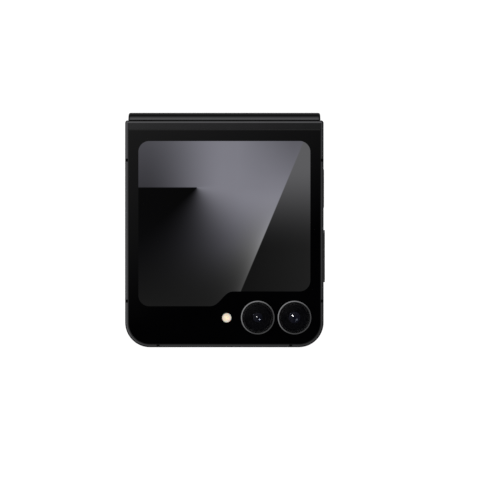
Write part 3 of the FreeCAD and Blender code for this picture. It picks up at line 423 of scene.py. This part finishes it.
def main_display(upper):
    """Half of the main display, flat and then round the fold."""
    half_w, far, start = PANEL[1].x, PANEL[0].y, PANEL[1].y
    outline = (arc((-half_w + PANEL_R, far + PANEL_R), PANEL_R, 180, 90, 16)
               + arc((half_w - PANEL_R, far + PANEL_R), PANEL_R, -90, 90, 16)
               + [(half_w, start)])
    outline = [(-half_w, start)] + outline
    edge = edge_points(half_w, -half_w, start, 34)
    hole = circle(middle_of("front_camera"), PUNCH_R, 48) if upper else None
    name = "main_display_" + ("far" if upper else "near") + "_half"
    return half_strip(name, outline, edge, PANEL_H, upper, hole, CREASE)


def hinge_cable(upper):
    x0, x1, y0 = CABLE[0].x, CABLE[1].x, CABLE[0].y
    start = y0 + CABLE_FLAT
    outline = [(x0, start), (x0, y0), (x1, y0), (x1, start)]
    edge = edge_points(x1, x0, start, 6)
    name = "hinge_cable_" + ("far" if upper else "near") + "_half"
    return half_strip(name, outline, edge, CABLE_H, upper)


# ---- node arithmetic ---------------------------------------------------------------------------
class Value:
    """A number that varies over a surface. It takes ordinary arithmetic, as Math nodes."""

    def __init__(self, tree, socket):
        self.tree = tree
        self.socket = socket

    def math(self, operation, *others, swap=False):
        node = self.tree.nodes.new("ShaderNodeMath")
        node.operation = operation
        terms = [*others, self] if swap else [self, *others]
        for slot, term in zip(node.inputs, terms):
            if isinstance(term, Value):
                self.tree.links.new(term.socket, slot)
            else:
                slot.default_value = term
        return Value(self.tree, node.outputs[0])

    def __add__(self, other):
        return self.math("ADD", other)

    def __sub__(self, other):
        return self.math("SUBTRACT", other)

    def __rsub__(self, other):
        return self.math("SUBTRACT", other, swap=True)

    def __mul__(self, other):
        return self.math("MULTIPLY", other)

    def __truediv__(self, other):
        return self.math("DIVIDE", other)

    def __pow__(self, other):
        return self.math("POWER", other)

    def clamp(self, low, high):
        return self.math("MAXIMUM", low).math("MINIMUM", high)

    def ease(self, low, high):
        """0 below low, 1 above high, and a smooth rise between them."""
        node = self.tree.nodes.new("ShaderNodeMapRange")
        node.interpolation_type = "SMOOTHSTEP"
        self.tree.links.new(self.socket, node.inputs["Value"])
        node.inputs["From Min"].default_value = low
        node.inputs["From Max"].default_value = high
        return Value(self.tree, node.outputs["Result"])

    def between(self, low, high):
        """low where this is 0, and high where it is 1. Either may vary."""
        return self * (high - low) + low

    __radd__ = __add__
    __rmul__ = __mul__


def split(tree, vector):
    """A vector socket's three numbers."""
    node = tree.nodes.new("ShaderNodeSeparateXYZ")
    tree.links.new(vector, node.inputs[0])
    return [Value(tree, socket) for socket in node.outputs]


def radius(x, y, centre):
    return ((x - centre[0]) ** 2 + (y - centre[1]) ** 2) ** 0.5


class Paint:
    """A material in the making: its Principled shader, and the surface's own place in
    millimetres, as x, y and z. plain holds values that are the same all over."""

    def __init__(self, name, plain):
        self.material = bpy.data.materials.new(name)
        self.material.use_nodes = True
        self.tree = self.material.node_tree
        self.shader = self.tree.nodes["Principled BSDF"]
        for socket, value in plain.items():
            self.shader.inputs[socket].default_value = value
        place = self.tree.nodes.new("ShaderNodeTexCoord").outputs["Object"]
        self.place = self.scaled(place, (1 / MM,) * 3)
        self.x, self.y, self.z = split(self.tree, self.place)

    def scaled(self, vector, factors):
        node = self.tree.nodes.new("ShaderNodeVectorMath")
        node.operation = "MULTIPLY"
        self.tree.links.new(vector, node.inputs[0])
        node.inputs[1].default_value = factors
        return node.outputs[0]

    def noise(self, size, detail=2, stretch=(1, 1, 1)):
        """Soft noise from 0 to 1, with lumps of that size in millimetres."""
        node = self.tree.nodes.new("ShaderNodeTexNoise")
        node.inputs["Scale"].default_value = 1 / size
        node.inputs["Detail"].default_value = detail
        self.tree.links.new(self.scaled(self.place, stretch), node.inputs["Vector"])
        return Value(self.tree, node.outputs["Fac"])

    def mix(self, factor, low, high):
        """A colour between two, each a triple or another mix."""
        node = self.tree.nodes.new("ShaderNodeMix")
        node.data_type = "RGBA"
        self.tree.links.new(factor.socket, node.inputs[0])
        for slot, colour in zip(node.inputs[6:8], (low, high)):
            if isinstance(colour, tuple):
                slot.default_value = (*colour, 1)
            else:
                self.tree.links.new(colour, slot)
        return node.outputs[2]

    def set(self, socket, source):
        source = source.socket if isinstance(source, Value) else source
        self.tree.links.new(source, self.shader.inputs[socket])

    def bump(self, height, depth):
        """Raises the surface by depth millimetres where height is 1."""
        node = self.tree.nodes.new("ShaderNodeBump")
        node.inputs["Distance"].default_value = depth * MM
        self.tree.links.new(height.socket, node.inputs["Height"])
        self.tree.links.new(node.outputs[0], self.shader.inputs["Normal"])


def tone(colour, factor):
    return tuple(c * factor for c in colour)


# ---- materials ---------------------------------------------------------------------------------
def anodised(name, colour, rough, painted_groove_shade=False):
    """Bead-blasted and anodised aluminium: a fine even grain, with slow drifts in tone. On the
    hinge
    cover, painted shade: its groove and its side towards the halves are painted black, where shade
    falls."""
    paint = Paint(name, {"Metallic": 1.0})
    grain, cloud = paint.noise(0.1), paint.noise(8.0)
    base = paint.mix(cloud, tone(colour, 0.92), tone(colour, 1.08))
    # painted shade: the groove and the side towards the halves are painted near-black, where shade
    # falls
    if painted_groove_shade:
        outside = paint.y.ease(GROOVE_END - 0.02, GROOVE_END)
        base = paint.mix(outside, (0.004, 0.004, 0.004), base)
    paint.set("Base Color", base)
    paint.set("Roughness", cloud.between(rough - 0.02, rough + 0.01) + grain * 0.02)
    paint.bump(grain, 0.0004)
    return paint.material


def turned_metal(name, colour, rough, centre):
    """Metal turned on a lathe: fine grooves round the centre."""
    paint = Paint(name, {"Metallic": 1.0})
    groove = (radius(paint.x, paint.y, centre) * (2 * math.pi / 0.06)).math("SINE")
    cloud = paint.noise(1.5)
    paint.set("Base Color", paint.mix(cloud, tone(colour, 0.93), tone(colour, 1.07)))
    paint.set("Roughness", groove * 0.02 + rough)
    paint.bump(groove, 0.0003)
    return paint.material


def brushed_steel(name, colour, rough):
    """Rolled steel sheet, with fine lines along X."""
    paint = Paint(name, {"Metallic": 1.0})
    line = paint.noise(0.12, 3, (0.03, 1, 1))
    paint.set("Base Color", paint.mix(line, tone(colour, 0.8), tone(colour, 1.1)))
    paint.set("Roughness", line.between(rough - 0.06, rough + 0.08))
    paint.bump(line, 0.002)
    return paint.material


def plastic(name, colour, rough, grain=0.15, depth=0.003, index=1.49):
    """Moulded plastic with a fine spark-eroded texture."""
    paint = Paint(name, {"IOR": index})
    spark, cloud = paint.noise(grain, 3), paint.noise(6.0)
    paint.set("Base Color", paint.mix(cloud, tone(colour, 0.85), tone(colour, 1.15)))
    paint.set("Roughness", spark.between(rough - 0.06, rough + 0.08))
    paint.bump(spark, depth)
    return paint.material


def mask_glass(name):
    """Polished glass over black ink, with the faintest drift in its polish."""
    paint = Paint(name, {"IOR": 1.5})
    cloud = paint.noise(14.0, 3)
    paint.set("Base Color", paint.mix(cloud, (0.0002, 0.0002, 0.0003), (0.0008, 0.0008, 0.001)))
    paint.set("Roughness", cloud.between(0.015, 0.04))
    return paint.material


def frosted_glass(name):
    """Etched back glass: satin black with a fine glitter in the ink under it."""
    paint = Paint(name, {"IOR": 1.5})
    glitter, etch = paint.noise(0.09, 1), paint.noise(0.25, 3)
    ink = paint.mix(glitter.ease(0.66, 0.8), (0.006, 0.0062, 0.007), (0.035, 0.036, 0.04))
    paint.set("Base Color", ink)
    paint.set("Roughness", etch.between(0.3, 0.42))
    paint.bump(etch, 0.0006)
    return paint.material


def lit_screen(name):
    """The cover display's wallpaper under its glass: two soft sheets of grey light, a black
    shadow that fans out from the edge on the left, and a dark pane beyond the slanted line.
    Places are in millimetres and levels run from 0 to 255. Most of the numbers are rounded from
    a least-squares fit to the grey levels that the display shows."""
    paint = Paint(name, {"IOR": 1.22, "Base Color": (0.0002, 0.0002, 0.0002, 1),
                         "Emission Strength": 1.0})
    x, y = paint.x, paint.y
    fan_x, fan_y = FAN
    line_x, line_y, line_slope = SLANTED_LINE
    past_line = x - line_x - (y - line_y) * line_slope

    # the sheet above the shadow's edge, with a shade in its far corner
    upper_left, upper_middle = y * 1.2 + 36, 130 - y * 0.2
    corner_shade = ((x - 5) * (1 / 20)).clamp(0, 1) * ((y - 12) * (1 / 20)).clamp(0, 1) * 30
    upper_light = x.ease(-30, 0).between(upper_left, upper_middle) - corner_shade

    # the sheet below it, which grows lighter with the angle turned round the fan's centre
    drop = (fan_y - y).math("MAXIMUM", 0.0)
    down = drop * (1 / 40)
    turn = drop.math("ARCTAN2", (x - fan_x) * -1) * (1 / math.pi)
    dark = down.ease(0, 2) * 45
    bright = (down * 700 + 300) * (1 - down.ease(0.5, 1.3))
    glint = (past_line * 0.35).math("MINIMUM", 0.0).math("EXPONENT") * down.ease(0.15, 0.5) * 30
    lower_light = (turn.ease(0.23, 3.6) ** (down * 0.6 + 0.43)).between(dark, bright) + glint

    # the two meet in an edge that softens with distance, and the dark pane covers the rest
    crease = ((x - fan_x) * 0.33).clamp(0.25, 6.5)
    left = ((y - fan_y) / crease).ease(-1, 1).between(lower_light, upper_light)
    beyond = y.ease(-8, 24).between(x * 0.5 + 15, 92)
    level = past_line.ease(-0.25, 0.2).between(left, beyond).clamp(0, 255) * (1 / 255)
    cloud = paint.noise(9.0) * 0.02 + 0.99

    # levels to light, by the sRGB curve, and a cool tint
    light = ((level * cloud + 0.055) * (1 / 1.055)) ** 2.4
    cool = past_line.ease(-14, -2).between(1, (y + 6).ease(-10, 22))
    cool = cool * past_line.ease(-0.25, 0.2).between(1, 0.3) * y.ease(-26, -2)
    tint = paint.mix(cool, (1.0, 1.0, 1.0), (0.98, 0.97, 1.13))
    paint.set("Emission Color", paint.mix(light, (0, 0, 0), tint))
    paint.set("Roughness", paint.noise(14.0, 3).between(0.015, 0.035))
    return paint.material


def dark_screen(name):
    """The unlit main display: near-black film, a little softer than glass."""
    paint = Paint(name, {"IOR": 1.46})
    cloud = paint.noise(11.0, 3)
    paint.set("Base Color", paint.mix(cloud, (0.0012, 0.0012, 0.0016), (0.003, 0.003, 0.004)))
    paint.set("Roughness", cloud.between(0.06, 0.1))
    paint.bump(cloud, 0.004)
    return paint.material


def rubber(name):
    paint = Paint(name, {"IOR": 1.45})
    spark = paint.noise(0.12, 3)
    paint.set("Base Color", paint.mix(spark, (0.008, 0.008, 0.008), (0.02, 0.02, 0.02)))
    paint.set("Roughness", spark.between(0.6, 0.75))
    paint.bump(spark, 0.006)
    return paint.material


def window_glass(name, centre):
    """The smoked window over a camera: mostly clear, very slightly bowed, and mirror-bright."""
    paint = Paint(name, {"IOR": 1.5, "Alpha": 0.25})
    cloud = paint.noise(2.5)
    paint.set("Base Color", paint.mix(cloud, (0.001, 0.001, 0.0015), (0.003, 0.003, 0.004)))
    paint.set("Roughness", cloud.between(0.01, 0.03))
    paint.bump(radius(paint.x, paint.y, centre) ** 2 * (-1 / 300), 1.0)
    return paint.material


def coated_lens(name, colour):
    """The front of a deep lens: next to no light comes back but the coat's own tint."""
    paint = Paint(name, {"IOR": 1.34})
    cloud = paint.noise(1.2)
    paint.set("Base Color", paint.mix(cloud, tone(colour, 0.7), tone(colour, 1.3)))
    paint.set("Roughness", cloud.between(0.02, 0.04))
    return paint.material


def flash_prism(name, centre):
    """Cream diffuser, warmer in the middle where the yellow phosphor shows through."""
    paint = Paint(name, {"IOR": 1.49, "Subsurface Weight": 0.3, "Subsurface Scale": 0.0004})
    r = radius(paint.x, paint.y, centre)
    cloud = paint.noise(0.35, 3)
    warm = paint.mix(r.ease(0.2, 1.1), (0.92, 0.79, 0.57), (0.78, 0.67, 0.55))
    paint.set("Base Color", paint.mix(r.ease(1.1, 1.7), warm, (0.5, 0.47, 0.4)))
    paint.set("Roughness", cloud.between(0.25, 0.4))
    paint.bump(cloud, 0.004)
    return paint.material


def battery_pouch(name):
    """Laminated foil in a dark sleeve, with soft wrinkles."""
    paint = Paint(name, {"IOR": 1.5})
    wrinkle, cloud = paint.noise(2.2, 4, (1, 0.35, 1)), paint.noise(12.0)
    paint.set("Base Color", paint.mix(cloud, (0.03, 0.031, 0.034), (0.055, 0.056, 0.06)))
    paint.set("Roughness", wrinkle.between(0.35, 0.55))
    paint.bump(wrinkle, 0.05)
    return paint.material


def circuit_board(name):
    """Solder mask over copper traces, with gold pads."""
    paint = Paint(name, {"IOR": 1.5})
    trace = paint.noise(0.9, 0, (1, 0.15, 1)).ease(0.5, 0.52)
    pad = paint.noise(0.8, 0).ease(0.72, 0.73)
    mask = paint.mix(trace, (0.004, 0.016, 0.011), (0.008, 0.032, 0.021))
    paint.set("Base Color", paint.mix(pad, mask, (0.75, 0.52, 0.2)))
    paint.set("Metallic", pad)
    paint.set("Roughness", trace.between(0.42, 0.3))
    paint.bump(trace, 0.03)
    return paint.material


def flex_film(name):
    """Dark polyimide film with copper lines along it."""
    paint = Paint(name, {"IOR": 1.6})
    line = (paint.x * (2 * math.pi / 0.5)).math("SINE").ease(-0.1, 0.1)
    paint.set("Base Color", paint.mix(line, (0.012, 0.008, 0.005), (0.05, 0.025, 0.012)))
    paint.set("Roughness", paint.noise(1.0).between(0.3, 0.45))
    paint.bump(line, 0.01)
    return paint.material


def coil(name, centre):
    """Enamelled copper strands on a grey ferrite sheet."""
    paint = Paint(name, {"IOR": 1.5})
    r = radius(paint.x, paint.y, centre)
    strand = (r * (2 * math.pi / 0.2)).math("SINE").ease(-1, 1)
    wound = paint.z.ease(1.08, 1.07) * r.ease(11.3, 11.5)
    copper = paint.mix(strand, (0.45, 0.17, 0.07), (0.85, 0.38, 0.18))
    paint.set("Base Color", paint.mix(wound, (0.05, 0.05, 0.052), copper))
    paint.set("Metallic", wound)
    paint.set("Roughness", strand.between(0.45, 0.3))
    paint.bump(strand * wound, 0.04)
    return paint.material


def port_tongue(name):
    """The connector's black tongue, with gilt contacts proud of both its faces."""
    paint = Paint(name, {"IOR": 1.5})
    low, high = box_mm("usb_port_tongue")
    centre_z = (low.z + high.z) / 2
    proud = (paint.z - centre_z).math("ABSOLUTE").ease(0.355, 0.36)
    gilt = proud * (paint.y - low.y).ease(4.6, 4.5)
    spark = paint.noise(0.12, 3)
    paint.set("Base Color", paint.mix(gilt, (0.012, 0.012, 0.012), (0.85, 0.6, 0.25)))
    paint.set("Metallic", gilt)
    paint.set("Roughness", spark.between(0.35, 0.5))
    paint.bump(spark, 0.003)
    return paint.material


# ---- lights, floor and camera ------------------------------------------------------------------
def soft_sky():
    """A soft box overhead, brighter behind the hinge and to the left, inside a ring of light that
    fades towards the horizon. Straight down, the floor's glow comes back."""
    world = bpy.data.worlds.new("soft_sky")
    world.use_nodes = True
    bpy.context.scene.world = world
    tree = world.node_tree
    x, y, z = split(tree, tree.nodes.new("ShaderNodeTexCoord").outputs["Generated"])
    overhead = (y * 3.3 - x * 1.8 + 0.035).clamp(0, 0.45)
    ring = (y * 0.45 - x * 0.55 + 0.6).clamp(0.35, 1.1)
    around = ring * z.ease(-0.1, 0.75).between(0.06, 1) + (z * -1 - 0.4).clamp(0, 1) * 0.6
    level = radius(x, y, (0, 0)).ease(0.08, 0.35).between(overhead, around)
    seen = Value(tree, tree.nodes.new("ShaderNodeLightPath").outputs["Is Camera Ray"])
    background = tree.nodes["Background"]
    background.inputs["Color"].default_value = (1, 1, 1, 1)
    tree.links.new(seen.between(level, 0.96).socket, background.inputs["Strength"])


def lamp(name, place, size, power, glossy=True, only=None, colour=(1, 1, 1)):
    """A round area lamp that faces the origin. only limits it to one piece."""
    data = bpy.data.lights.new(name, "AREA")
    data.shape = "DISK"
    data.size = size
    data.energy = power
    data.color = colour
    obj = bpy.data.objects.new(name, data)
    obj.location = place
    obj.rotation_euler = (-Vector(place)).to_track_quat("-Z", "Y").to_euler()
    obj.visible_glossy = glossy
    bpy.context.scene.collection.objects.link(obj)
    if only:
        receivers = bpy.data.collections.new(name + "_receivers")
        receivers.objects.link(only)
        obj.light_linking.receiver_collection = receivers


def floor():
    """A white sweep that glows a little, so that it stays pale with only a faint shadow. It lies
    a hair below the phone, so that no two faces share one plane."""
    mesh = bpy.data.meshes.new("floor")
    side, z = 4.0, -0.02 * MM
    corners = [(-side, -side, z), (side, -side, z), (side, side, z), (-side, side, z)]
    mesh.from_pydata(corners, [], [(0, 1, 2, 3)])
    obj = bpy.data.objects.new("floor", mesh)
    bpy.context.scene.collection.objects.link(obj)
    paint = Paint("floor_white", {"Roughness": 0.9, "Specular IOR Level": 0.0,
                                  "Emission Color": (1, 1, 1, 1), "Emission Strength": 0.93})
    paint.set("Base Color", paint.mix(paint.noise(400.0), (0.2, 0.2, 0.2), (0.22, 0.22, 0.22)))
    mesh.materials.append(paint.material)
    obj.visible_glossy = False


def camera():
    data = bpy.data.cameras.new("camera")
    data.lens = CAMERA_LENS
    data.clip_end = 20
    obj = bpy.data.objects.new("camera", data)
    obj.location = Vector((*CAMERA_AIM, GLASS[1].z + CAMERA_HEIGHT)) * MM
    bpy.context.scene.collection.objects.link(obj)
    bpy.context.scene.camera = obj


# ---- the scene ---------------------------------------------------------------------------------
def finish_piece(obj, material, body="upper_half", replaces=()):
    """Gives a new piece its material, and the body that it rides on."""
    obj.data.materials.append(material)
    if body:
        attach(obj, body)
    if replaces:
        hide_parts(*replaces)
    return obj


def paint_nodes(material, slot, *names):
    """Gives CAD nodes their material."""
    for name in names:
        node = frame["nodes"][name]
        node.data.materials.clear()
        node.data.materials.append(material)


def dress_frame():
    """A material for every CAD node that isn't replaced, outside or inside."""
    black = (0.1, 0.1, 0.104)
    paint_nodes(anodised("frame_aluminium", black, 0.09), "frame_metal",
                "lower_frame", "upper_frame")
    # the hinge cover, with painted shade in its groove
    cover = anodised("cover_aluminium", black, 0.09, painted_groove_shade=True)
    paint_nodes(cover, "frame_metal", "hinge_cover")
    paint_nodes(anodised("key_aluminium", black, 0.1), "key_metal",
                "volume_key", "side_key", "card_tray")
    antenna = plastic("antenna_resin", (0.003, 0.003, 0.003), 0.5, index=1.12)
    paint_nodes(antenna, "antenna_plastic", "lower_antenna_bands", "upper_antenna_bands")
    paint_nodes(frosted_glass("etched_back_glass"), "back_glass", "back_glass")
    paint_nodes(plastic("bezel_resin", (0.008, 0.008, 0.009), 0.38), "bezel_plastic",
                "lower_bezel", "upper_bezel", "fold_caps")
    paint_nodes(rubber("bumper_silicone"), "bumper_rubber", "lower_bumpers", "upper_bumpers")
    paint_nodes(battery_pouch("battery_sleeve"), "battery_pouch",
                "lower_battery", "upper_battery")
    paint_nodes(circuit_board("solder_mask"), "circuit_board", "main_board", "sub_board")
    paint_nodes(coil("coil_windings", middle_of("wireless_coil")), "coil_copper",
                "wireless_coil")
    paint_nodes(brushed_steel("shield_tin", (0.55, 0.54, 0.52), 0.34), "shield_steel",
                "board_shields", "sub_board_parts", "card_reader", "usb_port_shell",
                "lower_screws", "upper_screws")
    paint_nodes(plastic("carrier_resin", (0.014, 0.014, 0.015), 0.55), "black_plastic",
                "lower_bracket", "upper_bracket", "loudspeaker", "earpiece", "haptic_motor")
    paint_nodes(port_tongue("port_tongue"), "black_plastic", "usb_port_tongue")
    paint_nodes(flex_film("flex_circuit"), "flex_circuit",
                "lower_cable_tail", "upper_cable_tail", "key_switches")
    paint_nodes(brushed_steel("hinge_steel", (0.42, 0.42, 0.43), 0.28), "hinge_metal",
                "hinge_pins", "friction_washers", "idler_gears_lower", "idler_gears_upper",
                "lower_wing_plate", "upper_wing_plate", "lower_hinge_arm_right",
                "lower_hinge_arm_left", "upper_hinge_arm_right", "upper_hinge_arm_left",
                "hinge_housing_right", "hinge_housing_left")
    for _, ring, *_ in LENS_STACKS:
        metal = turned_metal(ring + "_metal", (0.33, 0.33, 0.34), 0.12, middle_of(ring))
        paint_nodes(metal, "ring_metal", ring)
    for node in ("camera_window_outer", "camera_window_inner"):
        glass = window_glass(node + "_glass", middle_of(node))
        paint_nodes(glass, "lens_glass", node)


def dress_cameras():
    """The lens stacks and the selfie camera. Returns the lenses, which catch lamps of their
    own."""
    resin = plastic("barrel_resin", (0.002, 0.002, 0.0025), 0.42, grain=0.1, depth=0.002,
                    index=1.2)
    coat = coated_lens("lens_coat", (0.002, 0.0022, 0.0055))
    lenses = []
    for stack in LENS_STACKS:
        housing, barrel, lens = lens_stack(*stack)
        for obj in (housing, barrel):
            finish_piece(obj, resin)
        lenses.append(finish_piece(lens, coat))
    finish_piece(selfie_camera(), mask_glass("selfie_lens"),
                 replaces=["front_camera"])
    return lenses


def dress_glass():
    finish_piece(cover_pane(), mask_glass("cover_glass_ink"),
                 replaces=["cover_glass"])
    finish_piece(cover_window(), lit_screen("cover_wallpaper"),
                 replaces=["cover_display"])
    finish_piece(flash(), flash_prism("flash_cream", middle_of("flash_lens")),
                 replaces=["flash_lens"])


def dress_fold():
    """The two sheets that bend over the hinge, each as two halves that meet in the spine."""
    film = dark_screen("main_display_film")
    flex = flex_film("hinge_flex")
    for upper, panel in ((False, "main_display_lower"), (True, "main_display_upper")):
        finish_piece(main_display(upper), film, None,
                     [panel, "main_display_fold"])
        finish_piece(hinge_cable(upper), flex, None, ["hinge_cable_fold"])


dress_frame()
lenses = dress_cameras()
dress_glass()
dress_fold()
soft_sky()
lamp("top_fill", *FILL_LAMP, glossy=False)
for lens, (key_power, rim_power) in zip(lenses, LENS_POWERS):
    lamp(lens.name + "_key", *KEY_LAMP, key_power, only=lens)
    lamp(lens.name + "_rim", *RIM_LAMP, rim_power, only=lens, colour=RIM_COLOUR)
floor()
camera()
bpy.context.scene.view_settings.view_transform = "Standard"
